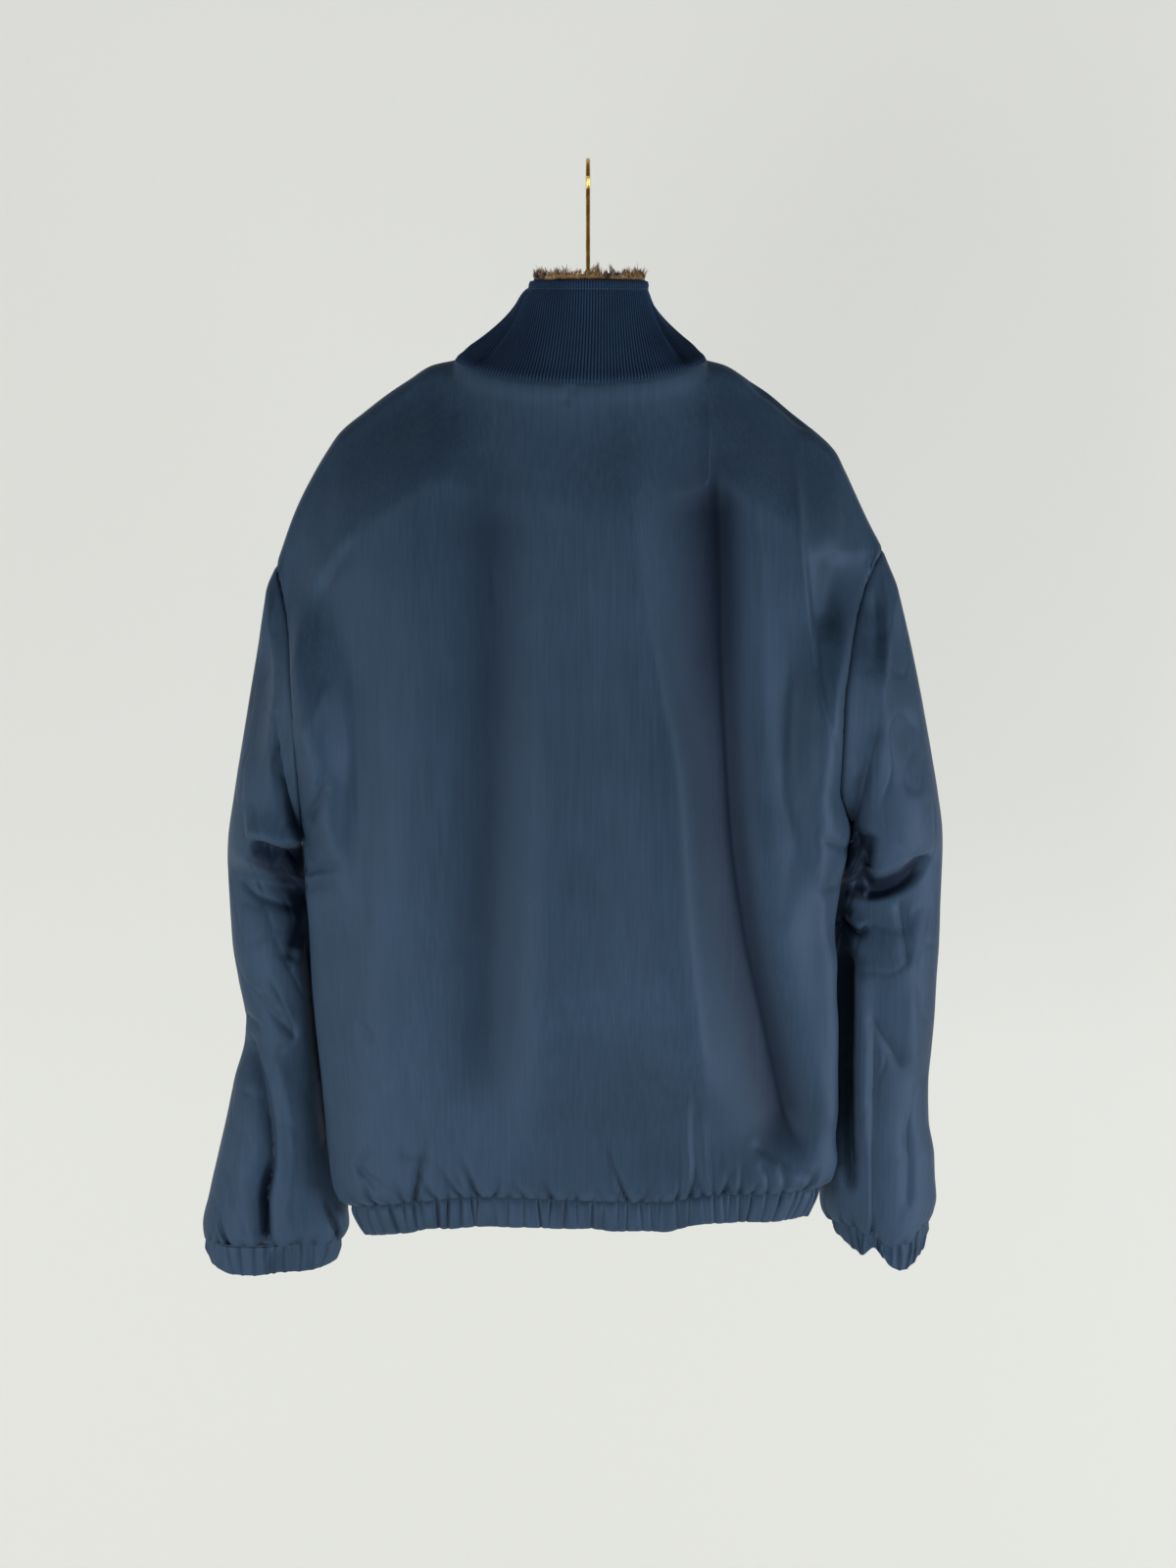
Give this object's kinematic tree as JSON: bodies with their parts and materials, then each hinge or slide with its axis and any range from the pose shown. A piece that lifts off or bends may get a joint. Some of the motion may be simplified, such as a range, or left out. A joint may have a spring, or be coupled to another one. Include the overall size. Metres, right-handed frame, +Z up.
{
  "type": "zipped blouson jacket on a hanger",
  "caption": "Blouson jacket on a wooden hanger: drop-shoulder sleeves, pile-lined rib stand collar, gathered waistband and cuffs, and a front zip with a swinging pull tab.",
  "frame": {"origin": "inside the top of the hook's bend, where it rests on a rod", "axes": "+Z up, the jacket's back faces +Y, the wearer's left arm is at +X"},
  "size_m": [0.6629, 0.1561, 0.9766],
  "materials": {
    "shell_cloth": "smooth plain-woven polyamide with a soft sheen",
    "rib_knit": "fine rib knit",
    "pile": "deep shaggy pile, tan with dark spots",
    "zip_chain": "woven zip tape with moulded teeth",
    "slider_metal": "dull nickel",
    "hanger_wood": "clear satin varnish",
    "hook_brass": "polished wire"
  },
  "bodies": {
    "jacket": {"back": "shell_cloth", "front_left": "shell_cloth", "front_right": "shell_cloth", "sleeve_left_upper": "shell_cloth", "sleeve_left_middle": "shell_cloth", "sleeve_left_lower": "shell_cloth", "sleeve_right_upper": "shell_cloth", "sleeve_right_middle": "shell_cloth", "sleeve_right_lower": "shell_cloth", "cuff_left": "shell_cloth", "cuff_right": "shell_cloth", "waistband": "shell_cloth", "collar": "rib_knit", "collar_pile": "pile", "zip_left": "zip_chain", "zip_right": "zip_chain", "zip_slider": "slider_metal", "hanger": "hanger_wood", "hook": "hook_brass"},
    "zip_pull": {"zip_pull": "slider_metal"}
  },
  "joints": [
    {"name": "pull_swing", "type": "hinge", "parent": "jacket", "child": "zip_pull", "pos_m": [0.005, -0.0634, -0.157], "axis": [-1, 0, 0], "range_deg": [0, 150]}
  ]
}
